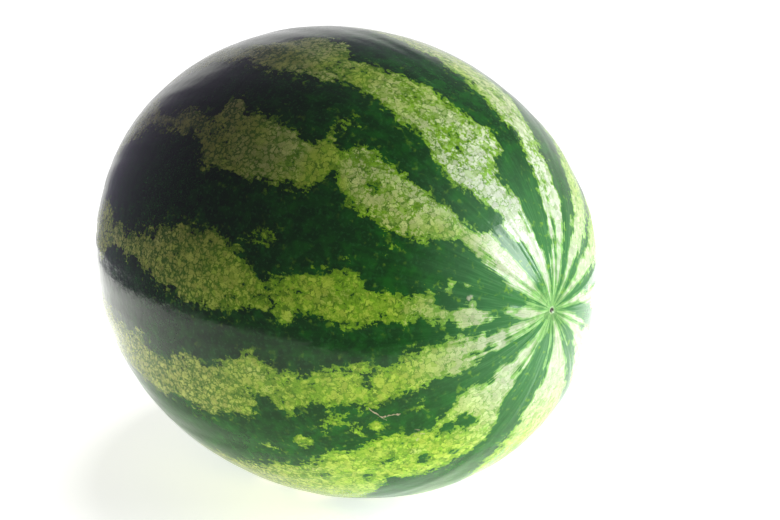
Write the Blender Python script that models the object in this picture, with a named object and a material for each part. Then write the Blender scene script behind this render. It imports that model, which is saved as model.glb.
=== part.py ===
"""A whole oblong-round watermelon, lying on the small flat spot that its own weight gives it.

+X points to the blossom end, -X to the stem end and +Z is up. The origin is the middle of the
flat spot underneath. Sizes are in metres and angles in radians.
"""

import math

import bmesh
import bpy
from mathutils import Vector

NAME = "watermelon"

# Half of the fruit's length, width and height, before the flat spot is pressed in
HALF_LENGTH = 0.142
HALF_WIDTH = 0.1165
HALF_HEIGHT = 0.1195

# The line from the stem to the blossom end leans a little away from the long axis
LEAN_SIDEWAYS = math.radians(2.6)
LEAN_UPWARD = math.radians(4.5)

# Faint lobes round the girth: their count, their height as a part of the radius, and the
# longitude of one crest
LOBES = (
    (3, 0.003, math.radians(-30)),
    (4, 0.005, math.radians(17)),
)

# How deep the flat spot is pressed in, and the soft edge round it
FLAT_DEPTH = 0.0034
FLAT_EDGE = 0.0008

# The hollow at each end: its depth and its radius
BLOSSOM_HOLLOW = (0.0012, 0.010)
STEM_HOLLOW = (0.0040, 0.017)

# Faces round the girth and from end to end
MERIDIANS = 72
PARALLELS = 54

RIND_GREEN = (0.10, 0.24, 0.05, 1.0)
RIND_ROUGHNESS = 0.28


def clear_scene():
    for obj in list(bpy.data.objects):
        bpy.data.objects.remove(obj, do_unlink=True)


def rind_material():
    material = bpy.data.materials.new("rind")
    material.use_nodes = True
    shader = material.node_tree.nodes["Principled BSDF"]
    shader.inputs["Base Color"].default_value = RIND_GREEN
    shader.inputs["Roughness"].default_value = RIND_ROUGHNESS
    shader.inputs["Metallic"].default_value = 0.0
    material.diffuse_color = RIND_GREEN
    return material


def lean(direction):
    """Turns a direction of the fruit's own growth axis to how that axis lies."""
    x, y, z = direction
    up_cos, up_sin = math.cos(LEAN_UPWARD), math.sin(LEAN_UPWARD)
    side_cos, side_sin = math.cos(LEAN_SIDEWAYS), math.sin(LEAN_SIDEWAYS)
    x, z = x * up_cos - z * up_sin, x * up_sin + z * up_cos
    x, y = x * side_cos - y * side_sin, x * side_sin + y * side_cos
    return Vector((x, y, z))


def hollow(angle, depth_and_radius):
    """How far the skin sinks at this angle from one end."""
    depth, radius = depth_and_radius
    return depth * math.exp(-((angle * HALF_WIDTH / radius) ** 2))


def press_flat(height):
    """Raises what lies below the flat spot onto it, through a smooth edge."""
    above = height - FLAT_DEPTH
    if above <= -FLAT_EDGE:
        return 0.0
    if above >= FLAT_EDGE:
        return above
    return (above + FLAT_EDGE) ** 2 / (4 * FLAT_EDGE)


def skin_point(colatitude, longitude):
    """The skin's point at an angle from the blossom end, and a longitude from the side (-Y)
    round towards the underside."""
    ring = math.sin(colatitude)
    direction = lean(
        (math.cos(colatitude), -ring * math.cos(longitude), -ring * math.sin(longitude))
    )
    swell = sum(
        height * math.cos(count * (longitude - crest)) for count, height, crest in LOBES
    )
    sink = hollow(colatitude, BLOSSOM_HOLLOW) + hollow(math.pi - colatitude, STEM_HOLLOW)
    grown = 1 + swell * ring**2 - sink / HALF_LENGTH
    return Vector(
        (
            direction.x * HALF_LENGTH * grown,
            direction.y * HALF_WIDTH * grown,
            press_flat((1 + direction.z * grown) * HALF_HEIGHT),
        )
    )


def centre_over_origin(verts):
    """Moves the fruit sideways until its box is centred on the origin."""
    for axis in (0, 1):
        values = [vert.co[axis] for vert in verts]
        middle = (min(values) + max(values)) / 2
        for vert in verts:
            vert.co[axis] -= middle


def build_fruit():
    """A sphere whose poles are the blossom end and the stem end, grown into the fruit's shape."""
    bm = bmesh.new()
    bmesh.ops.create_uvsphere(bm, u_segments=MERIDIANS, v_segments=PARALLELS, radius=1.0)
    for vert in bm.verts:
        colatitude = math.acos(max(-1.0, min(1.0, vert.co.z)))
        longitude = math.atan2(vert.co.y, vert.co.x)
        vert.co = skin_point(colatitude, longitude)
    centre_over_origin(bm.verts)
    mesh = bpy.data.meshes.new(NAME)
    bm.to_mesh(mesh)
    bm.free()
    mesh.shade_smooth()
    mesh.materials.append(rind_material())
    return bpy.data.objects.new(NAME, mesh)


def main():
    clear_scene()
    parts = bpy.data.collections.new(NAME)
    bpy.context.scene.collection.children.link(parts)
    parts.objects.link(build_fruit())


main()
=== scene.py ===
"""The looks of the watermelon: its skin with both ends, its mottled stripes, and a white table in
soft light.

Lengths are in metres. The rind's shader works in millimetres, and its angles are in radians. The
colatitude of a point on the rind is its angle from the blossom end (+X), and its longitude runs
from the fruit's side (-Y) round by the underside.
"""

import math

import bmesh
import bpy
import numpy as np
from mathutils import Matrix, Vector, noise


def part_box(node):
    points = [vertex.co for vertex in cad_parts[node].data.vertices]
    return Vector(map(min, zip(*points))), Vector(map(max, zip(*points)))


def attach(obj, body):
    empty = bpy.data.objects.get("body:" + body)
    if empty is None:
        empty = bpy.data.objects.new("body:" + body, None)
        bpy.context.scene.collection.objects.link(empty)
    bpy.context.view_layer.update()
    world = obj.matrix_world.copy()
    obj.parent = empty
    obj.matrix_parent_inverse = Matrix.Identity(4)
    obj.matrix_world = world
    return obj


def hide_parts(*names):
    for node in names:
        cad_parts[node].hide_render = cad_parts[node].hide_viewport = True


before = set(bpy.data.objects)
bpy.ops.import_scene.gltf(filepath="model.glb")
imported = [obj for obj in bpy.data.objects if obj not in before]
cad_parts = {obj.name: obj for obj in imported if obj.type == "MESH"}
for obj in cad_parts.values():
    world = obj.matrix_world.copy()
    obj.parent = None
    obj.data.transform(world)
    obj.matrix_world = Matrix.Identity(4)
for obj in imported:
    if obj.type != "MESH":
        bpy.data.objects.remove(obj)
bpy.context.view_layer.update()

CAD_NODE = "watermelon"
MM = 0.001

# The fruit's shape, as the CAD model has it: its half sizes, and how far its axis leans
HALF_LENGTH = 0.142
HALF_WIDTH = 0.1165
HALF_HEIGHT = 0.1195
LEAN_SIDEWAYS = math.radians(2.6)
LEAN_UPWARD = math.radians(4.5)

# Lobes round the girth: how many, their height as a share of the radius, and a crest's longitude
LOBES = (
    (3, 0.003, math.radians(-30)),
    (4, 0.005, math.radians(17)),
)

# The flat that the fruit rests on: how deep it is pressed in, and half the height of its soft edge
FLAT_DEPTH = 0.0034
FLAT_EDGE = 0.0008

# The hollows at the two ends, each with its depth and radius
BLOSSOM_HOLLOW = (0.0012, 0.010)
STEM_HOLLOW = (0.0040, 0.017)

# The mean radius of the girth, by which angles on the skin are turned into lengths
GIRTH_RADIUS = (HALF_WIDTH + HALF_HEIGHT) / 2

# The skin's mesh: its faces round the girth and from end to end, and how much closer the rings lie
# at the two ends than elsewhere, within that many degrees of an end
MERIDIANS = 400
PARALLELS = 238
END_SPACING = 0.25
END_REACH = 8.0

# Faint ripples of the skin: height in millimetres, and how closely they follow each other round the
# girth and from end to end
RIPPLES = ((0.55, 1.6, 1.0), (0.40, 6.5, 1.4), (0.22, 15.0, 3.2))

# The blossom end, in millimetres: the scar where the blossom fell off, and the low wall round it
BLOSSOM_SCAR_DEPTH = 0.5
BLOSSOM_SCAR_RADIUS = 1.0
WALL_HEIGHT = 0.12
WALL_RADIUS = 1.9
WALL_WIDTH = 0.6

# The stem end, in millimetres: the stalk's stub with its sunken pith, a ring of cork and some folds
STUB_RADIUS = 3.4
STUB_HEIGHT = 3.6
PITH_DEPTH = 0.9
PITH_RADIUS = 1.3
CORK_RADIUS = 6.2
CORK_HEIGHT = 0.8
CORK_WIDTH = 1.3
FOLD_COUNT = 9
FOLD_HEIGHT = 0.5
FOLDS_RADIUS = 15
FOLDS_WIDTH = 8

# Light bands of the rind. Each is a list of (colatitude, longitude where it starts, longitude where
# it ends), in degrees; beyond its last entry a band wanders on to the stem end.
LIGHT_BANDS = (
    ((3, -114, -95), (8, -116, -97), (15, -120, -103), (23, -121, -101), (28, -116, -105),
     (33, -117, -101), (38, -115, -104), (45, -116, -101), (53, -117, -99), (63, -114, -99),
     (73, -109, -97), (84, -106, -97)),
    ((3, -89, -72), (12, -86, -71), (23, -83, -65), (32, -79, -64), (36, -89, -62),
     (43, -90, -64), (48, -85, -67), (58, -82, -69), (66, -79, -69), (71, -75, -66),
     (75, -81, -66), (84, -82, -64), (91, -74, -66), (100, -72, -67)),
    ((3, -53, -33), (10, -54, -34), (20, -56, -36), (29, -50, -42), (35, -53, -36),
     (42, -51, -34), (50, -53, -37), (54, -54, -40), (57, -49, -45), (60, -53, -37),
     (65, -49, -37), (72, -51, -35), (80, -50, -36), (84, -54, -36), (88, -47, -42),
     (95, -48, -43), (106, -46, -45)),
    ((3, -12, 4), (9, -17, 0), (13, -14, -8), (16, -9, -9), (19, -13, -6), (22, -14, -3),
     (27, -10, -5), (32, -17, -6), (37, -15, -5), (42, -13, -7), (48, -20, -4), (55, -17, -7),
     (60, -15, -4), (65, -12, -7), (69, -19, -6), (76, -21, -4), (84, -21, -7), (93, -19, -9),
     (99, -17, -12), (110, -18, -13)),
    ((3, 2, 22), (10, 1, 20), (18, 4, 18), (36, 5, 20), (40, 11, 20), (45, 9, 23), (53, 9, 18),
     (57, 10, 16), (62, 9, 21), (68, 5, 15), (72, 7, 22), (78, 9, 21), (84, 7, 23),
     (90, 11, 19), (97, 8, 22), (110, 6, 18)),
    ((3, 38, 68), (8, 36, 52), (16, 33, 52), (24, 32, 57), (31, 36, 64), (37, 40, 63),
     (41, 38, 62), (48, 34, 60), (54, 36, 54), (62, 37, 61), (70, 40, 67), (80, 41, 70),
     (100, 42, 66)),
    ((3, 92, 112), (8, 92, 113), (20, 81, 118), (35, 80, 112), (50, 82, 104)),
    ((3, 138, 166), (10, 136, 160), (22, 124, 152), (40, 128, 146)),
    ((3, 181, 189), (12, 172, 184), (25, 164, 180)),
    ((3, 201, 213), (12, 198, 210), (25, 190, 206)),
    ((3, 224, 233), (12, 220, 232), (22, 212, 230), (40, 214, 228)),
)

# How such a band wanders, in degrees: the step between its entries, how far it shifts to either
# side, and its half width with how much that varies
WANDER_STEP = 7.0
WANDER_SHIFT = 5.0
WANDER_HALF_WIDTH = (7.5, 5.5)

# How deep inside a band or a stripe the plan still tells depths apart, in millimetres
BAND_REACH = 14.0

# Thin light rays inside the dark wedges round the blossom end: longitude, half width and how far
# they reach, in degrees
THIN_RAYS = (
    (81, 1.6, 13), (121, 2.0, 11), (130, 1.4, 9), (-62, 1.5, 12), (-24, 1.6, 9), (176, 1.5, 8),
)
# Thin dark lines inside the light bands there, in the same terms
THIN_LINES = (
    (-107, 1.3, 30), (48, 1.6, 17), (13, 1.0, 26), (-44, 1.2, 24), (58, 1.4, 12), (150, 1.5, 16),
)

# Light islands in the dark stripes and dark holes in the light bands: colatitude and longitude in
# degrees, and radius in millimetres
ISLANDS = (
    (54, 24.5, 3.2), (51, 28, 1.6), (57, 27, 1.4), (28, -20, 2.2), (24, -24, 1.2), (47, 31, 1.3),
    (63, 30, 1.8), (66, -24, 1.6), (41, -30, 1.5), (72, 32, 1.7), (37, 27, 1.2), (60, -58, 1.4),
)
HOLES = (
    (31, 47, 3.4), (35, 45, 2.6), (45, 13, 2.2), (50, 46, 1.6), (58, 50, 2.4), (39, 56, 1.8),
    (62, -8, 1.6), (40, -72, 1.5), (49, -45, 1.3), (71, 14, 1.8), (44, 52, 2.0), (66, 47, 2.2),
)

# The camera: where it stands as seen from the fruit, and how far left of the middle the fruit is
CAMERA_AZIMUTH = math.radians(49.3)
CAMERA_ELEVATION = math.radians(18.4)
CAMERA_DISTANCE = 0.783
FRUIT_LEFT_OF_MIDDLE = 0.0253
LENS_MM = 70

# The table: a disc whose top lies just under the fruit
TABLE_RADIUS = 0.50
TABLE_DEPTH = 0.004
TABLE_TOP = -0.0002
TABLE_WHITE = (0.80, 0.80, 0.80)
TABLE_ROUGHNESS = 0.6

# The table's glow: even near the fruit, then changing with distance to a far glow, which itself
# grows towards the back left
TABLE_GLOW_COLOUR = (1.0, 1.0, 0.98)
NEAR_GLOW = 0.62
GLOW_CHANGES = (0.13, 0.25)
BACK_LEFT = (-0.8, 0.6, 0.0)
FAR_GLOW = (0.85, 1.65)
FAR_GLOW_CHANGES = (-0.20, 0.10)

# The window's light, and a wider glow above it from the same side: azimuth and elevations are in
# degrees
WINDOW_AZIMUTH = 120
WINDOW_DISTANCE = 1.15
WINDOW_COLOUR = (0.95, 1.0, 1.0)
WINDOW_ELEVATION = 16
WINDOW_SIZE = (0.44, 0.54)
WINDOW_WATTS = 7.6
GLOW_ELEVATION = 30
GLOW_SIZE = (0.80, 0.80)
GLOW_WATTS = 7.5

# The light that the table throws back up at the fruit
BOUNCE_SIZE = 0.8
BOUNCE_WATTS = 1.0
BOUNCE_HEIGHT = 0.001

# The room: the colour that lights the fruit, the brighter one that its rind mirrors, and the halo
# round the window in that mirror image, which fades between two angles from its middle, in degrees
ROOM = (0.090, 0.078, 0.070)
MIRRORED_ROOM = (0.31, 0.28, 0.37)
HALO = (1.15, 1.25, 1.35)
HALO_AZIMUTH = 116
HALO_ELEVATION = 16
HALO_FADES = (62, 10)

# The backdrop behind the fruit: its colour, and the parts of a view's direction towards +Y and
# upward between which it begins and ends
BACKDROP = (0.86, 0.86, 0.86)
BACKDROP_BEGINS = (0.14, 0.32)
BACKDROP_ENDS = (0.46, 0.28)


# ---------------------------------------------------------------- the skin's shape


def lean(x, y, z):
    """Turns directions on the growing fruit, whose axis is +X, to how that axis lies."""
    up_cos, up_sin = math.cos(LEAN_UPWARD), math.sin(LEAN_UPWARD)
    side_cos, side_sin = math.cos(LEAN_SIDEWAYS), math.sin(LEAN_SIDEWAYS)
    x, z = x * up_cos - z * up_sin, x * up_sin + z * up_cos
    x, y = x * side_cos - y * side_sin, x * side_sin + y * side_cos
    return x, y, z


def hollow(angle, depth_and_radius):
    """How far the skin sinks at this angle from one end."""
    depth, radius = depth_and_radius
    return depth * np.exp(-((angle * HALF_WIDTH / radius) ** 2))


def press_flat(height):
    """Raises what lies below the flat spot onto it, through a smooth edge."""
    above = height - FLAT_DEPTH
    edge = (np.clip(above, -FLAT_EDGE, FLAT_EDGE) + FLAT_EDGE) ** 2 / (4 * FLAT_EDGE)
    return np.where(above >= FLAT_EDGE, above, edge)


def bell(distance, width):
    """1 at no distance, falling smoothly to 0 beyond the width."""
    return np.exp(-((distance / width) ** 2))


def smoothstep(value, low, high):
    """0 below low and 1 above high, smooth between."""
    part = np.clip((value - low) / (high - low), 0, 1)
    return part * part * (3 - 2 * part)


def end_relief(colatitude, longitude):
    """The fine shapes of the two ends, in millimetres above the skin."""
    from_blossom = colatitude * GIRTH_RADIUS / MM
    from_stem = (math.pi - colatitude) * GIRTH_RADIUS / MM
    wall = WALL_HEIGHT * bell(from_blossom - WALL_RADIUS, WALL_WIDTH)
    scar = wall - BLOSSOM_SCAR_DEPTH * bell(from_blossom, BLOSSOM_SCAR_RADIUS)
    uneven = 1 + 0.10 * np.cos(3 * longitude + 1) + 0.06 * np.cos(5 * longitude)
    rim = STUB_RADIUS * uneven
    stub = STUB_HEIGHT * (1 - smoothstep(from_stem, rim - 0.7, rim + 0.9))
    pith = -PITH_DEPTH * bell(from_stem, PITH_RADIUS)
    cork = CORK_HEIGHT * bell(from_stem - CORK_RADIUS, CORK_WIDTH)
    sway = 0.8 * np.sin(2 * longitude)
    folds = FOLD_HEIGHT * bell(from_stem - FOLDS_RADIUS, FOLDS_WIDTH) * np.cos(FOLD_COUNT * longitude + sway)
    return scar + stub + pith + cork + folds


def ripple_relief(directions):
    """Faint uneven ripples along the fruit, in millimetres above the skin."""
    x, y, z = directions
    ring = np.maximum(np.hypot(y, z), 1e-6)
    colatitude = np.arccos(np.clip(x, -1, 1))
    relief = np.zeros(len(x))
    for height, across, along in RIPPLES:
        places = np.stack([colatitude * along, across * y / ring, across * z / ring], axis=1)
        relief += height * np.array([noise.noise(Vector(place)) for place in places])
    return relief * smoothstep(ring, 0.0, 0.35)


def skin_points(colatitude, longitude):
    """The skin's points as one array, and their directions on the growing fruit."""
    ring = np.sin(colatitude)
    directions = (np.cos(colatitude), -ring * np.cos(longitude), -ring * np.sin(longitude))
    swell = sum(height * np.cos(count * (longitude - crest)) for count, height, crest in LOBES)
    sink = hollow(colatitude, BLOSSOM_HOLLOW) + hollow(math.pi - colatitude, STEM_HOLLOW)
    grown = 1 + swell * ring**2 - sink / HALF_LENGTH
    x, y, z = lean(*directions)
    smooth = np.stack([x * HALF_LENGTH * grown, y * HALF_WIDTH * grown, z * HALF_HEIGHT * grown], axis=1)
    relief = (end_relief(colatitude, longitude) + ripple_relief(directions)) * MM
    outward = np.stack([x / HALF_LENGTH, y / HALF_WIDTH, z / HALF_HEIGHT], axis=1)
    outward /= np.linalg.norm(outward, axis=1, keepdims=True)
    detailed = smooth + outward * relief[:, None]
    smooth[:, 2] = press_flat(smooth[:, 2] + HALF_HEIGHT)
    detailed[:, 2] = press_flat(detailed[:, 2] + HALF_HEIGHT)
    return smooth, detailed, np.stack(directions, axis=1)


def ring_colatitudes():
    """The rings' angles from the blossom end, closer together near both ends."""
    angles = np.linspace(0, 180, 4001)
    from_end = np.minimum(angles, 180 - angles)
    spacing = END_SPACING + (1 - END_SPACING) * (1 - bell(from_end, END_REACH))
    count = np.concatenate([[0], np.cumsum(0.5 / spacing[1:] + 0.5 / spacing[:-1])])
    return np.radians(np.interp(np.arange(PARALLELS + 1) / PARALLELS * count[-1], count, angles))


def fit_to_box(points, smooth, low, high):
    """Scales and moves points so that the smooth skin fills the CAD model's box."""
    lowest, highest = smooth.min(axis=0), smooth.max(axis=0)
    scale = (np.array(high) - np.array(low)) / (highest - lowest)
    return (points - lowest) * scale + np.array(low)


# ---------------------------------------------------------------- the plan of the stripes


def band_edges(stations, band, colatitude):
    """Where a light band starts and ends at each colatitude, in degrees."""
    known = [station[0] for station in stations]
    starts = [station[1] for station in stations]
    ends = [station[2] for station in stations]
    middle = (starts[-1] + ends[-1]) / 2
    at = known[-1] + WANDER_STEP
    while at < 180:
        shift = WANDER_SHIFT * noise.noise(Vector((at / 18, band * 7.3, 2.0)))
        width, vary = WANDER_HALF_WIDTH
        half = width + vary * noise.noise(Vector((at / 11, band * 3.1, 9.0)))
        known.append(at)
        starts.append(middle + shift - half)
        ends.append(middle + shift + half)
        at += WANDER_STEP
    return np.interp(colatitude, known, starts), np.interp(colatitude, known, ends)


def turned(angle):
    """An angle in degrees brought between -180 and 180."""
    return (angle + 180) % 360 - 180


def taper(half, reach, colatitude):
    """A thin ray's half width in degrees, which falls to nothing and far below it past its reach."""
    return half * (1 - (colatitude / reach) ** 2) - 8 * smoothstep(colatitude, reach * 0.9, reach * 1.4)


def band_depth(colatitude, longitude):
    """How deep each point lies inside a light band, in millimetres; negative in a dark stripe."""
    colatitude, longitude = np.degrees(colatitude), np.degrees(longitude)
    degree = np.radians(1) * np.sin(np.radians(colatitude)) * GIRTH_RADIUS / MM
    depth = np.full(len(colatitude), -BAND_REACH)
    for band, stations in enumerate(LIGHT_BANDS):
        start, end = band_edges(stations, band, colatitude)
        inside = (end - start) / 2 - abs(turned(longitude - (start + end) / 2))
        depth = np.maximum(depth, inside * degree)
    for at, half, reach in THIN_RAYS:
        inside = (taper(half, reach, colatitude) - abs(turned(longitude - at))) * degree
        depth = np.maximum(depth, inside)
    for at, half, reach in THIN_LINES:
        inside = (taper(half, reach, colatitude) - abs(turned(longitude - at))) * degree
        depth = np.minimum(depth, -inside)
    for patches, sign in ((ISLANDS, 1), (HOLES, -1)):
        for at_colatitude, at_longitude, radius in patches:
            along = (colatitude - at_colatitude) * np.radians(1) * GIRTH_RADIUS / MM
            across = turned(longitude - at_longitude) * degree
            inside = radius - np.hypot(along, across)
            depth = sign * np.maximum(sign * depth, inside)
    return np.clip(depth, -BAND_REACH, BAND_REACH)


# ---------------------------------------------------------------- shader helpers


class Graph:
    """Adds nodes to a material's or a world's node tree, each call giving the new node's output."""

    def __init__(self, tree):
        self.tree = tree

    def node(self, kind, **settings):
        node = self.tree.nodes.new(kind)
        for name, value in settings.items():
            setattr(node, name, value)
        return node

    def feed(self, socket, value):
        if isinstance(value, bpy.types.NodeSocket):
            self.tree.links.new(value, socket)
        else:
            socket.default_value = value

    def math(self, operation, *values):
        node = self.node("ShaderNodeMath", operation=operation)
        for socket, value in zip(node.inputs, values):
            self.feed(socket, value)
        return node.outputs[0]

    def add(self, *values):
        total = values[0]
        for value in values[1:]:
            total = self.math("ADD", total, value)
        return total

    def times(self, *values):
        product = values[0]
        for value in values[1:]:
            product = self.math("MULTIPLY", product, value)
        return product

    def clamp(self, value, low, high):
        return self.math("MINIMUM", self.math("MAXIMUM", value, low), high)

    def vector(self, operation, *values):
        node = self.node("ShaderNodeVectorMath", operation=operation)
        for socket, value in zip(node.inputs, values):
            self.feed(socket, value)
        scalar = operation in ("LENGTH", "DOT_PRODUCT")
        return node.outputs["Value" if scalar else "Vector"]

    def scaled(self, vector, factor):
        node = self.node("ShaderNodeVectorMath", operation="SCALE")
        self.feed(node.inputs["Vector"], vector)
        self.feed(node.inputs["Scale"], factor)
        return node.outputs["Vector"]

    def split(self, vector):
        node = self.node("ShaderNodeSeparateXYZ")
        self.feed(node.inputs[0], vector)
        return node.outputs

    def join(self, x, y, z):
        node = self.node("ShaderNodeCombineXYZ")
        for socket, value in zip(node.inputs, (x, y, z)):
            self.feed(socket, value)
        return node.outputs[0]

    def step(self, value, low, high):
        """0 below low and 1 above high, smooth between; from 1 to 0 where low is above high."""
        node = self.node("ShaderNodeMapRange", interpolation_type="SMOOTHSTEP")
        self.feed(node.inputs["Value"], value)
        self.feed(node.inputs["From Min"], min(low, high))
        self.feed(node.inputs["From Max"], max(low, high))
        self.feed(node.inputs["To Min"], 0.0 if low < high else 1.0)
        self.feed(node.inputs["To Max"], 1.0 if low < high else 0.0)
        return node.outputs[0]

    def span(self, value, low, high, first, last):
        """Goes evenly from first to last while value goes from low to high."""
        node = self.node("ShaderNodeMapRange")
        for name, given in zip(("Value", "From Min", "From Max", "To Min", "To Max"),
                               (value, low, high, first, last)):
            self.feed(node.inputs[name], given)
        return node.outputs[0]

    def noise(self, at, size, detail=2.0, roughness=0.5, colour=False):
        """Noise whose features are about size wide, in the units of at: 0 to 1, mostly near 0.5."""
        node = self.node("ShaderNodeTexNoise")
        self.feed(node.inputs["Vector"], at)
        self.feed(node.inputs["Scale"], 1.0 / size)
        self.feed(node.inputs["Detail"], detail)
        self.feed(node.inputs["Roughness"], roughness)
        return node.outputs["Color" if colour else "Fac"]

    def swing(self, at, size, amount, detail=2.0):
        """Noise from about -amount to amount."""
        return self.span(self.noise(at, size, detail), 0.25, 0.75, -amount, amount)

    def warped(self, at, size, amount, detail=2.0, roughness=0.5):
        """A place pushed about by noise whose features are about size wide."""
        push = self.noise(at, size, detail, roughness, colour=True)
        push = self.vector("SUBTRACT", push, (0.5, 0.5, 0.5))
        return self.vector("ADD", at, self.scaled(push, amount))

    def cells(self, at, size, feature="F1", output="Distance"):
        """A pattern of cells about size wide."""
        node = self.node("ShaderNodeTexVoronoi", feature=feature)
        self.feed(node.inputs["Vector"], at)
        self.feed(node.inputs["Scale"], 1.0 / size)
        return node.outputs[output]

    def mix(self, amount, first, second):
        """Two colours mixed: the first where amount is 0, the second where it is 1."""
        node = self.node("ShaderNodeMix", data_type="RGBA")
        for name, value in (("Factor_Float", amount), ("A_Color", first), ("B_Color", second)):
            socket = next(s for s in node.inputs if s.identifier == name)
            self.feed(socket, value)
        return next(s for s in node.outputs if s.identifier == "Result_Color")

    def blend(self, amount, first, second):
        """Two numbers mixed: the first where amount is 0, the second where it is 1."""
        return self.span(amount, 0.0, 1.0, first, second)

    def shade(self, colour, brightness):
        """A colour made lighter or darker."""
        return self.scaled(colour, brightness)


def colour(red, green, blue):
    return (red, green, blue, 1.0)


# ---------------------------------------------------------------- the rind's material

CREAM = colour(0.50, 0.56, 0.205)
YELLOW_GREEN = colour(0.38, 0.50, 0.060)
# Painted shade: a warm brown that the light flecks take towards the stem end.
PAINTED_SHADE_BROWN = colour(0.35, 0.32, 0.12)
OLIVE_EDGE = colour(0.080, 0.110, 0.017)
MINT_WHITE = colour(0.58, 0.62, 0.50)
MINT_EDGE = colour(0.19, 0.37, 0.11)
LIME = colour(0.20, 0.37, 0.020)
VEIN = colour(0.155, 0.320, 0.018)
VEIN_DARK = colour(0.016, 0.085, 0.006)
# Painted shade: near black for the dark stripes on the upper side towards the stem end.
PAINTED_SHADE_GREEN = colour(0.006, 0.020, 0.007)
DARK_GREEN = colour(0.009, 0.042, 0.009)
MID_GREEN = colour(0.016, 0.120, 0.012)
BLOSSOM_GREEN = colour(0.034, 0.150, 0.038)
BLOSSOM_GREEN_LIGHT = colour(0.10, 0.27, 0.09)
GROUND_CREAM = colour(0.62, 0.55, 0.22)
CORK = colour(0.23, 0.145, 0.075)
CORK_DARK = colour(0.06, 0.035, 0.02)
SCAR_BROWN = colour(0.05, 0.04, 0.03)
SCAR_RING = colour(0.50, 0.50, 0.36)
SCRATCH_TAN = colour(0.48, 0.40, 0.26)

# Where the rind changes on its way from the blossom end to the stem end: the colatitudes in degrees
# between which each change comes in
BLOSSOM_ZONE = (42, 9)
PALE_BLOSSOM_ZONE = (40, 14)
# Painted light: the top near the blossom end is painted paler where the window's light falls.
PAINTED_LIGHT_TOP_ZONE = (62, 30)
# Painted light: the dark stripes are painted lighter towards the blossom end, where the window's light
# falls.
PAINTED_LIGHT_BLOSSOM_ZONE = (75, 30)
# Towards the stem end: the painted warm shade and the dark stripes' black painted shade lie in this zone.
TOWARD_STEM_ZONE = (52, 92)

# The same for its sides: heights on the girth, which is -1 at the underside and 1 at the top
LOWER_SIDE = (0.85, 0.35)
# The upper side bounds the top's painted light.
UPPER_SIDE = (0.60, 0.92)

# The cells in the light bands, in millimetres. Veins run along their edges, and a finer net of veins
# follows smaller cells.
CELL_SIZE = 2.7
SMALL_CELL_SIZE = CELL_SIZE * 0.55

# Each net of veins: the size of the stretches in which it is broken or whole, in millimetres, its
# widest vein as a share of a cell, and how strongly it colours the skin
COARSE_NET = (4.0, 0.21, 0.9)
FINE_NET = (2.6, 0.11, 0.5)

# How strongly the fibres round the blossom end colour the skin
FIBRE_STRENGTH = 0.6

# The levels of fleck_height between which the dark skin turns to its fringe, the fringe to the pale skin,
# and the veins come in; the last is how much sooner the skin towards the stem end turns pale
FRINGE_LEVELS = (-1.1, 0.3)
PALE_LEVELS = (1.1, 2.7)
VEIN_LEVELS = (-0.3, 0.8)
TOWARD_STEM_LIFT = 1.5

# Half widths of the marks on the skin, in millimetres, and how strongly each colours it
SCRATCH_WIDTH = 0.46
FLECK_WIDTH = 0.6
SCAB_WIDTH = 1.5
SCRATCH_STRENGTH = 0.8
FLECK_STRENGTH = 0.6
SCAB_STRENGTH = 0.7

# The rind's wax: how it refracts, and how strongly it mirrors on the upper side and underneath
WAX_IOR = 1.44
WAX_SHINE = (0.5, 0.27)


class RindPlaces:
    """The places and zones that the rind's patterns use; places are in millimetres."""

    def __init__(self, graph):
        coordinates = graph.node("ShaderNodeTexCoord")
        self.point = graph.scaled(coordinates.outputs["Object"], 1 / MM)
        growth = graph.node("ShaderNodeAttribute", attribute_name="growth").outputs["Vector"]
        along, side, up = graph.split(growth)
        self.colatitude = graph.math("ARCCOSINE", graph.clamp(along, -1.0, 1.0))
        self.up = up
        outward = graph.join(0.0, side, up)
        self.ring = graph.vector("LENGTH", outward)
        self.around = graph.vector("NORMALIZE", outward)
        self.depth = graph.node("ShaderNodeAttribute", attribute_name="band_depth").outputs["Fac"]
        self.from_blossom = graph.times(self.colatitude, GIRTH_RADIUS / MM)
        self.from_stem = graph.times(graph.math("SUBTRACT", math.pi, self.colatitude), GIRTH_RADIUS / MM)
        girth_height = graph.math("DIVIDE", up, self.ring)
        self.lower_side = graph.step(girth_height, *LOWER_SIDE)
        self.near_blossom = self.zone(graph, BLOSSOM_ZONE)
        self.near_pale = self.zone(graph, PALE_BLOSSOM_ZONE)
        # Painted light on the top near the blossom end.
        self.painted_light_top = graph.times(self.zone(graph, PAINTED_LIGHT_TOP_ZONE), graph.step(girth_height, *UPPER_SIDE))
        # Towards the stem end, where the painted warm shade lies; it also changes the flecks and veins
        # there.
        self.toward_stem = self.zone(graph, TOWARD_STEM_ZONE)
        self.calm = graph.step(self.ring, 0.02, 0.45)

    def zone(self, graph, colatitudes):
        """1 inside a zone of the rind and 0 outside, smooth between the two colatitudes."""
        outside, inside = colatitudes
        return graph.step(self.colatitude, math.radians(outside), math.radians(inside))

    def rays(self, graph, count, along):
        """Coordinates in which noise draws streaks from end to end: count across, and along."""
        swept = graph.scaled(self.around, float(count))
        return graph.vector("ADD", swept, graph.join(graph.times(self.colatitude, float(along)), 0.0, 0.0))


def ragged_depth(graph, places):
    """How deep a point lies in a light band, in millimetres, with the band's ragged edge."""
    wide = graph.swing(places.point, 14.0, 2.4)
    lobes = graph.swing(places.point, 6.0, 3.0, detail=3.0)
    ragged = graph.times(graph.add(wide, lobes), places.calm)
    sway = graph.times(graph.swing(places.rays(graph, 12, 2.6), 1.0, 4.0), places.ring, places.near_blossom)
    barbs = graph.times(graph.swing(places.rays(graph, 40, 7.0), 1.0, 2.6, detail=4.0), places.ring)
    return graph.add(places.depth, ragged, sway, barbs)


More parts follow.
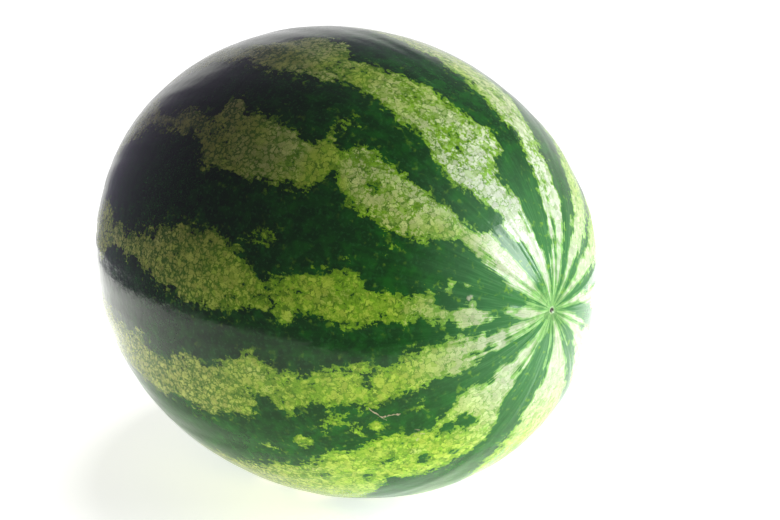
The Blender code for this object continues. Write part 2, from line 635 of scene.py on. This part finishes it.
def fleck_field(graph, places):
    """Small irregular flecks, 0 to 1, drawn out into streaks towards the blossom end."""
    woven = graph.warped(places.point, 2.4, 2.6)
    woven = graph.vector("MULTIPLY", woven, (0.72, 1.0, 1.0))
    flecks = graph.noise(woven, 2.1, detail=3.0, roughness=0.7)
    streaks = graph.noise(places.rays(graph, 52, 11.0), 1.0, detail=3.0)
    return graph.blend(places.near_blossom, flecks, streaks)


def fleck_height(graph, places, depth, flecks):
    """The level that decides the skin's colour: dark, then lime from about 0, then cream from 2."""
    lushness = graph.span(graph.noise(places.point, 13.0, detail=3.0), 0.36, 0.62, 1.1, 4.6)
    lushness = graph.times(lushness, graph.blend(places.toward_stem, 1.0, 0.95))
    lushness = graph.blend(places.near_blossom, lushness, 3.0)
    held = graph.math("MINIMUM", depth, lushness)
    reach = graph.blend(places.near_blossom, 3.3, 1.0)
    reach = graph.times(reach, graph.blend(places.toward_stem, 1.0, 1.15))
    spread = graph.times(graph.span(flecks, 0.28, 0.72, -1.0, 1.0), reach)
    return graph.times(graph.add(held, spread), graph.blend(places.near_blossom, 1.0, 2.0))


def scar_lines(graph, places, points, width):
    """1 on the branched line through the given pairs of points on the skin, and 0 away from it."""
    nearest = None
    swayed = graph.warped(places.point, 3.0, 2.2)
    for first, last in points:
        run = [b - a for a, b in zip(first, last)]
        length = sum(part * part for part in run)
        offset = graph.vector("SUBTRACT", swayed, tuple(first))
        share = graph.math("DIVIDE", graph.vector("DOT_PRODUCT", offset, tuple(run)), length)
        share = graph.clamp(share, 0.0, 1.0)
        away = graph.vector("LENGTH", graph.vector("SUBTRACT", offset, graph.scaled(tuple(run), share)))
        nearest = away if nearest is None else graph.math("MINIMUM", nearest, away)
    return graph.step(graph.add(nearest, graph.swing(places.point, 1.3, 0.30)), width, width * 0.35)


def light_colour(graph, places, cell_tone, cell_hue):
    """The colour of a light band's pale flecks, with painted light on the top near the blossom end and a
    painted warm shade towards the stem end.
    """
    patches = graph.add(graph.noise(places.point, 24.0), graph.times(places.lower_side, 0.24))
    patches = graph.step(patches, 0.42, 0.66)
    body = graph.mix(patches, CREAM, YELLOW_GREEN)
    # The blossom end's own mint paleness, and painted light on the top.
    paleness = graph.math("MAXIMUM", graph.times(places.painted_light_top, 0.95), graph.times(places.near_pale, 0.8))
    body = graph.mix(paleness, body, MINT_WHITE)
    # Painted shade: warm brown towards the stem end.
    body = graph.mix(graph.times(places.toward_stem, 0.6), body, PAINTED_SHADE_BROWN)
    limey = graph.times(graph.step(cell_hue, 0.62, 0.95), graph.blend(places.near_blossom, 0.65, 0.1))
    limey = graph.times(limey, graph.blend(places.toward_stem, 1.0, 0.25))
    body = graph.mix(limey, body, LIME)
    brightness = graph.span(cell_tone, 0.0, 1.0, 0.86, 1.20)
    return graph.shade(body, graph.times(brightness, graph.blend(places.near_blossom, 1.0, 0.77)))


def dark_colour(graph, places, depth):
    """The colour of the dark stripes, with painted light underneath and towards the blossom end, and painted
    shade, nearly black, on the upper side towards the stem end.
    """
    mottle = graph.step(graph.noise(places.point, 7.0, detail=4.0, roughness=0.6), 0.40, 0.70)
    grain = graph.step(graph.noise(places.rays(graph, 60, 9.0), 1.0, detail=3.0), 0.42, 0.74)
    # Painted light: the dark stripes are painted lighter towards the blossom end and underneath, where the
    # window's and the table's light fall.
    end = graph.times(places.zone(graph, PAINTED_LIGHT_BLOSSOM_ZONE), 0.25)
    below = graph.times(graph.step(places.up, 0.0, -0.6), 0.25)
    mottle_and_painted_light = graph.add(graph.times(mottle, 0.7), graph.times(grain, 0.2), end, below)
    # Painted shade: the dark stripes are painted nearly black on the upper side towards the stem end.
    painted_shade = graph.times(places.toward_stem, graph.step(places.up, -0.35, 0.15), 0.85)
    mottle_and_painted_light = graph.times(graph.math("MINIMUM", mottle_and_painted_light, 1.0), graph.blend(painted_shade, 1.0, 0.25))
    body = graph.mix(painted_shade, DARK_GREEN, PAINTED_SHADE_GREEN)
    body = graph.mix(mottle_and_painted_light, body, MID_GREEN)
    blossom = graph.mix(graph.times(grain, 0.55), BLOSSOM_GREEN, BLOSSOM_GREEN_LIGHT)
    body = graph.mix(places.near_blossom, body, blossom)
    dots = graph.step(graph.noise(places.point, 1.5, detail=1.0), 0.56, 0.70)
    body = graph.mix(graph.times(dots, 0.35), body, BLOSSOM_GREEN)
    specks = graph.step(graph.noise(places.point, 3.2, detail=3.0), 0.57, 0.74)
    near_edge = graph.step(depth, -12.0, -1.0)
    return graph.mix(graph.times(specks, near_edge, 0.6), body, LIME)


def vein_net(graph, places, woven, cell_size, net):
    """A broken net of veins along the edges of cells, wider here and there."""
    size, widest, strength = net
    edge = graph.cells(woven, cell_size, feature="DISTANCE_TO_EDGE")
    breaks = graph.add(graph.noise(places.point, size), graph.times(places.toward_stem, 0.05))
    width = graph.span(breaks, 0.40, 0.64, 0.01, widest)
    width = graph.times(width, graph.blend(places.near_blossom, 1.0, 0.15))
    # Thinner veins in the painted light on the top; a little wider towards the stem end.
    width = graph.times(width, graph.blend(places.toward_stem, 1.0, 1.1), graph.blend(places.painted_light_top, 1.0, 0.75))
    return graph.times(graph.step(graph.math("DIVIDE", edge, width), 1.0, 0.3), strength)


def vein_cover(graph, places, woven, height):
    """How much of each point is vein: nets of two sizes, and fibres round the blossom end."""
    coarse = vein_net(graph, places, woven, CELL_SIZE, COARSE_NET)
    fine = vein_net(graph, places, woven, SMALL_CELL_SIZE, FINE_NET)
    fibres = graph.step(graph.noise(places.rays(graph, 95, 8.0), 1.0), 0.54, 0.66)
    fibres = graph.times(fibres, places.near_blossom, FIBRE_STRENGTH)
    veins = graph.math("MAXIMUM", graph.math("MAXIMUM", coarse, fine), fibres)
    return graph.times(veins, graph.step(height, *VEIN_LEVELS))


def vein_colour(graph, places):
    """The veins' green: darker in patches and towards the stem end, and minty at the blossom end."""
    patches = graph.step(graph.noise(places.point, 3.6), 0.44, 0.60)
    darkness = graph.math("MAXIMUM", graph.times(patches, 0.6), graph.times(places.toward_stem, 0.95))
    return graph.mix(places.near_blossom, graph.mix(darkness, VEIN, VEIN_DARK), MINT_EDGE)


def fringe_colour(graph, places, cell_tone):
    """The green between a dark stripe and the pale flecks of a light band."""
    fringe = graph.mix(graph.times(places.toward_stem, 0.7), LIME, OLIVE_EDGE)
    fringe = graph.mix(places.near_blossom, fringe, MINT_EDGE)
    return graph.shade(fringe, graph.span(cell_tone, 0.0, 1.0, 0.75, 1.25))


def striped_skin(graph, places):
    """The colour of the stripes with their flecks and veins, and how much of each point is vein."""
    woven = graph.warped(places.point, 3.4, 5.0, detail=4.0, roughness=0.72)
    cell_tone, cell_hue, _ = graph.split(graph.cells(woven, CELL_SIZE, output="Color"))
    depth = ragged_depth(graph, places)
    height = fleck_height(graph, places, depth, fleck_field(graph, places))
    pale_height = graph.add(height, graph.times(places.toward_stem, TOWARD_STEM_LIFT))
    dark = dark_colour(graph, places, depth)
    fringe = fringe_colour(graph, places, cell_tone)
    light = light_colour(graph, places, cell_tone, cell_hue)
    skin = graph.mix(graph.step(height, *FRINGE_LEVELS), dark, fringe)
    skin = graph.mix(graph.step(pale_height, *PALE_LEVELS), skin, light)
    veins = vein_cover(graph, places, woven, height)
    return graph.mix(veins, skin, vein_colour(graph, places)), veins


def rind_colour(graph, places, tan_marks, scab):
    """The whole rind's colour, and how much of each point is cork and how much is vein."""
    skin, veins = striped_skin(graph, places)
    skin = graph.mix(ground_spot(graph, places), skin, GROUND_CREAM)
    skin = graph.mix(graph.times(tan_marks, SCRATCH_STRENGTH), skin, SCRATCH_TAN)
    skin = graph.mix(graph.times(scab, SCAB_STRENGTH), skin, SCAR_RING)
    skin = blossom_scar(graph, places, skin)
    cork, skin = stem_cork(graph, places, skin)
    drift = graph.span(graph.noise(places.point, 55.0), 0.3, 0.7, 0.90, 1.08)
    return graph.shade(skin, drift), cork, veins


def ground_spot(graph, places):
    """The pale patch where the fruit lay on the ground while it grew."""
    x, y, z = graph.split(places.point)
    away = graph.vector("LENGTH", graph.join(x, y, graph.times(z, 2.0)))
    away = graph.add(away, graph.swing(places.point, 22.0, 14.0, detail=3.0))
    return graph.times(graph.step(away, 50.0, 24.0), 0.8)


def blossom_scar(graph, places, skin):
    """A small dark scar in a pale ring, where the blossom fell off."""
    uneven = graph.add(places.from_blossom, graph.swing(places.point, 1.5, 0.4))
    skin = graph.mix(graph.times(graph.step(uneven, 2.3, 1.6), 0.3), skin, SCAR_RING)
    return graph.mix(graph.step(uneven, 1.5, 0.9), skin, SCAR_BROWN)


def stem_cork(graph, places, skin):
    """The corky scar and the stalk's dried stub at the stem end."""
    uneven = graph.add(places.from_stem, graph.swing(places.point, 3.0, 1.0))
    cork = graph.step(uneven, CORK_RADIUS + 2.0, CORK_RADIUS + 0.6)
    grain = graph.step(graph.noise(places.point, 0.9, detail=4.0), 0.35, 0.65)
    tan = graph.mix(grain, CORK_DARK, CORK)
    halo = graph.times(graph.step(uneven, 17.0, 7.0), 0.35)
    skin = graph.mix(halo, skin, YELLOW_GREEN)
    return cork, graph.mix(cork, skin, tan)


def rind_roughness(graph, places, cork, scratches):
    """Smears in the rind's shine, duller on cork and scratches."""
    smears = graph.span(graph.noise(places.point, 16.0, detail=4.0), 0.35, 0.65, 0.11, 0.20)
    grain = graph.span(graph.noise(places.point, 1.8), 0.3, 0.7, -0.03, 0.03)
    return graph.add(smears, grain, graph.times(cork, 0.5), graph.times(scratches, 0.3))


def rind_bumps(graph, places, cork, veins, raised):
    """The finest unevenness of the skin: a bent surface direction. Heights are in millimetres."""
    pores = graph.times(graph.noise(places.point, 0.8, detail=3.0), 0.020)
    dimples = graph.times(graph.noise(places.point, 4.5), 0.10)
    sunk_veins = graph.times(veins, -0.012)
    scabs = graph.times(raised, 0.15)
    cork_grain = graph.times(cork, graph.noise(places.point, 1.1, detail=4.0), 0.7)
    bump = graph.node("ShaderNodeBump")
    bump.inputs["Strength"].default_value = 1.0
    bump.inputs["Distance"].default_value = MM
    graph.feed(bump.inputs["Height"], graph.add(pores, dimples, sunk_veins, scabs, cork_grain))
    return bump.outputs[0]


def rind_material(scratch_runs, scab_runs, fleck_runs):
    """The rind's material, with marks along the given runs between points of the skin."""
    material = bpy.data.materials.new("rind")
    material.use_nodes = True
    graph = Graph(material.node_tree)
    places = RindPlaces(graph)
    scratches = scar_lines(graph, places, scratch_runs, SCRATCH_WIDTH)
    flecks = graph.times(scar_lines(graph, places, fleck_runs, FLECK_WIDTH), FLECK_STRENGTH)
    scab = scar_lines(graph, places, scab_runs, SCAB_WIDTH)
    skin, cork, veins = rind_colour(graph, places, graph.math("MAXIMUM", scratches, flecks), scab)
    raised = graph.math("MAXIMUM", scratches, scab)
    dull = graph.step(places.up, 0.05, -0.45)
    shader = material.node_tree.nodes["Principled BSDF"]
    shader.inputs["IOR"].default_value = WAX_IOR
    graph.feed(shader.inputs["Base Color"], skin)
    graph.feed(shader.inputs["Roughness"], rind_roughness(graph, places, cork, scratches))
    graph.feed(shader.inputs["Specular IOR Level"], graph.blend(dull, *WAX_SHINE))
    graph.feed(shader.inputs["Normal"], rind_bumps(graph, places, cork, veins, raised))
    return material


# ---------------------------------------------------------------- building the fruit

# The branched scratch on the fruit's side: runs between (colatitude, longitude) in degrees
SCRATCH = (
    ((46.5, 22.5), (45.6, 25.2)),
    ((45.6, 25.2), (44.8, 27.0)),
    ((44.8, 27.0), (43.0, 27.3)),
    ((43.0, 27.3), (41.2, 27.8)),
    ((44.8, 27.0), (44.6, 28.4)),
)

# A small pale scab, and tan flecks below the scratch, in the same terms
SCAB = (((22.9, -18.9), (23.2, -18.3)),)
FLECKS = (
    ((40.2, 36.8), (39.6, 37.9)),
    ((40.9, 38.6), (41.4, 39.4)),
    ((39.9, 39.9), (39.2, 40.8)),
    ((41.2, 41.4), (41.8, 42.6)),
)


def sampled_skin():
    """Points spread over the smooth skin, from which its box is known."""
    colatitudes = np.radians(np.arange(0, 181, 2.0))
    longitudes = np.radians(np.arange(0, 360, 4.0))
    colatitude, longitude = np.meshgrid(colatitudes, longitudes)
    smooth, _, _ = skin_points(colatitude.ravel(), longitude.ravel())
    return smooth


def skin_place(place, sampled, low, high):
    """The skin's point at a colatitude and longitude in degrees, in millimetres."""
    colatitude, longitude = place
    point, _, _ = skin_points(np.radians([colatitude]), np.radians([longitude]))
    return tuple(float(value) / MM for value in fit_to_box(point, sampled, low, high)[0])


def runs_on_skin(runs, low, high):
    """Runs between places on the skin, as pairs of points in millimetres."""
    sampled = sampled_skin()
    return [tuple(skin_place(place, sampled, low, high) for place in run) for run in runs]


def build_fruit():
    """A sphere with its poles at the fruit's two ends, grown into the skin's shape."""
    low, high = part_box(CAD_NODE)
    bm = bmesh.new()
    bmesh.ops.create_uvsphere(bm, u_segments=MERIDIANS, v_segments=PARALLELS, radius=1.0)
    mesh = bpy.data.meshes.new("melon_skin")
    bm.to_mesh(mesh)
    bm.free()
    unit = np.zeros(len(mesh.vertices) * 3)
    mesh.vertices.foreach_get("co", unit)
    unit = unit.reshape(-1, 3)
    ring = np.rint(np.arccos(np.clip(unit[:, 2], -1, 1)) / math.pi * PARALLELS).astype(int)
    colatitude = ring_colatitudes()[ring]
    longitude = np.arctan2(unit[:, 1], unit[:, 0])
    smooth, detailed, growth = skin_points(colatitude, longitude)
    points = fit_to_box(detailed, smooth, low, high)
    points[:, 2] = np.maximum(points[:, 2], low.z)
    mesh.vertices.foreach_set("co", points.ravel())
    mesh.attributes.new("growth", "FLOAT_VECTOR", "POINT").data.foreach_set("vector", growth.ravel())
    depth = band_depth(colatitude, longitude)
    mesh.attributes.new("band_depth", "FLOAT", "POINT").data.foreach_set("value", depth)
    mesh.shade_smooth()
    mesh.update()
    marks = [runs_on_skin(runs, low, high) for runs in (SCRATCH, SCAB, FLECKS)]
    mesh.materials.append(rind_material(*marks))
    fruit = bpy.data.objects.new("melon_skin", mesh)
    bpy.context.scene.collection.objects.link(fruit)
    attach(fruit, "root")
    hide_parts(CAD_NODE)


# ---------------------------------------------------------------- table, light and camera


def direction(azimuth, elevation):
    """The direction at an azimuth (0 is -Y, 90 degrees is +X) and an elevation, in radians."""
    level = math.cos(elevation)
    return Vector((math.sin(azimuth) * level, -math.cos(azimuth) * level, math.sin(elevation)))


def add_table():
    """A round white table that glows a little, so that it stays white under the fruit."""
    middle = (0, 0, TABLE_TOP - TABLE_DEPTH / 2)
    bpy.ops.mesh.primitive_cylinder_add(
        vertices=128, radius=TABLE_RADIUS, depth=TABLE_DEPTH, location=middle
    )
    table = bpy.context.object
    table.name = "table"
    material = bpy.data.materials.new("table_white")
    material.use_nodes = True
    shader = material.node_tree.nodes["Principled BSDF"]
    shader.inputs["Base Color"].default_value = colour(*TABLE_WHITE)
    shader.inputs["Roughness"].default_value = TABLE_ROUGHNESS
    shader.inputs["Emission Color"].default_value = colour(*TABLE_GLOW_COLOUR)
    graph = Graph(material.node_tree)
    place = graph.node("ShaderNodeTexCoord").outputs["Object"]
    towards_back_left = graph.vector("DOT_PRODUCT", place, BACK_LEFT)
    far_glow = graph.span(towards_back_left, *FAR_GLOW_CHANGES, *FAR_GLOW)
    glow = graph.span(graph.vector("LENGTH", place), *GLOW_CHANGES, NEAR_GLOW, far_glow)
    graph.feed(shader.inputs["Emission Strength"], glow)
    table.data.materials.append(material)


def add_light(name, middle, size, energy, elevation):
    """An area light on the window's side, which is right of the fruit and behind it."""
    data = bpy.data.lights.new(name, "AREA")
    data.shape = "RECTANGLE"
    data.size, data.size_y = size
    data.energy = energy
    data.color = WINDOW_COLOUR
    light = bpy.data.objects.new(name, data)
    outward = direction(math.radians(WINDOW_AZIMUTH), math.radians(elevation))
    light.location = middle + WINDOW_DISTANCE * outward
    light.rotation_euler = (middle - light.location).to_track_quat("-Z", "Y").to_euler()
    bpy.context.scene.collection.objects.link(light)
    return light


def add_window(middle):
    """The soft window light, and a glow above it that the rind doesn't mirror."""
    add_light("window", middle, WINDOW_SIZE, WINDOW_WATTS, WINDOW_ELEVATION)
    glow = add_light("window_glow", middle, GLOW_SIZE, GLOW_WATTS, GLOW_ELEVATION)
    glow.visible_glossy = False


def add_bounce():
    """The table's soft light on the fruit's underside, without a mirror image of its own."""
    data = bpy.data.lights.new("bounce", "AREA")
    data.shape = "SQUARE"
    data.size = BOUNCE_SIZE
    data.energy = BOUNCE_WATTS
    light = bpy.data.objects.new("bounce", data)
    light.location = (0, 0, BOUNCE_HEIGHT)
    light.rotation_euler = (math.pi, 0, 0)
    light.visible_glossy = False
    light.visible_camera = False
    bpy.context.scene.collection.objects.link(light)


def add_room():
    """A white backdrop behind the fruit, and a dim warm room that is brighter in the rind's mirror.

    The camera itself sees plain white, and the window's halo shows only in the mirror image.
    """
    world = bpy.data.worlds.new("studio")
    bpy.context.scene.world = world
    world.use_nodes = True
    graph = Graph(world.node_tree)
    towards = graph.node("ShaderNodeTexCoord").outputs["Generated"]
    _, y, z = graph.split(towards)
    backdrop = graph.times(graph.step(y, *BACKDROP_BEGINS), graph.step(z, *BACKDROP_ENDS))
    light_path = graph.node("ShaderNodeLightPath").outputs
    window = direction(math.radians(HALO_AZIMUTH), math.radians(HALO_ELEVATION))
    near_window = graph.vector("DOT_PRODUCT", towards, tuple(window))
    fades = [math.cos(math.radians(angle)) for angle in HALO_FADES]
    mirrored = graph.mix(graph.step(near_window, *fades), colour(*MIRRORED_ROOM), colour(*HALO))
    room = graph.mix(light_path["Is Glossy Ray"], colour(*ROOM), mirrored)
    seen = graph.mix(backdrop, room, colour(*BACKDROP))
    shown = graph.mix(light_path["Is Camera Ray"], seen, colour(1.0, 1.0, 1.0))
    background = world.node_tree.nodes["Background"]
    graph.feed(background.inputs["Color"], shown)


def add_camera(middle):
    """The camera, which looks a little past the fruit, so that the fruit is left of the middle."""
    data = bpy.data.cameras.new("camera")
    data.lens = LENS_MM
    camera = bpy.data.objects.new("camera", data)
    outward = direction(CAMERA_AZIMUTH, CAMERA_ELEVATION)
    camera.location = middle + CAMERA_DISTANCE * outward
    right = (-outward).cross(Vector((0, 0, 1))).normalized()
    aim = middle + FRUIT_LEFT_OF_MIDDLE * right
    camera.rotation_euler = (aim - camera.location).to_track_quat("-Z", "Y").to_euler()
    bpy.context.scene.collection.objects.link(camera)
    bpy.context.scene.camera = camera


def main():
    """The fruit, what it lies on, and how it is lit and seen."""
    _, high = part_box(CAD_NODE)
    middle = Vector((0, 0, high.z - HALF_HEIGHT))
    build_fruit()
    add_table()
    add_window(middle)
    add_bounce()
    add_room()
    add_camera(middle)
    bpy.context.scene.view_settings.view_transform = "Standard"
    bpy.context.scene.view_settings.look = "Medium High Contrast"


main()
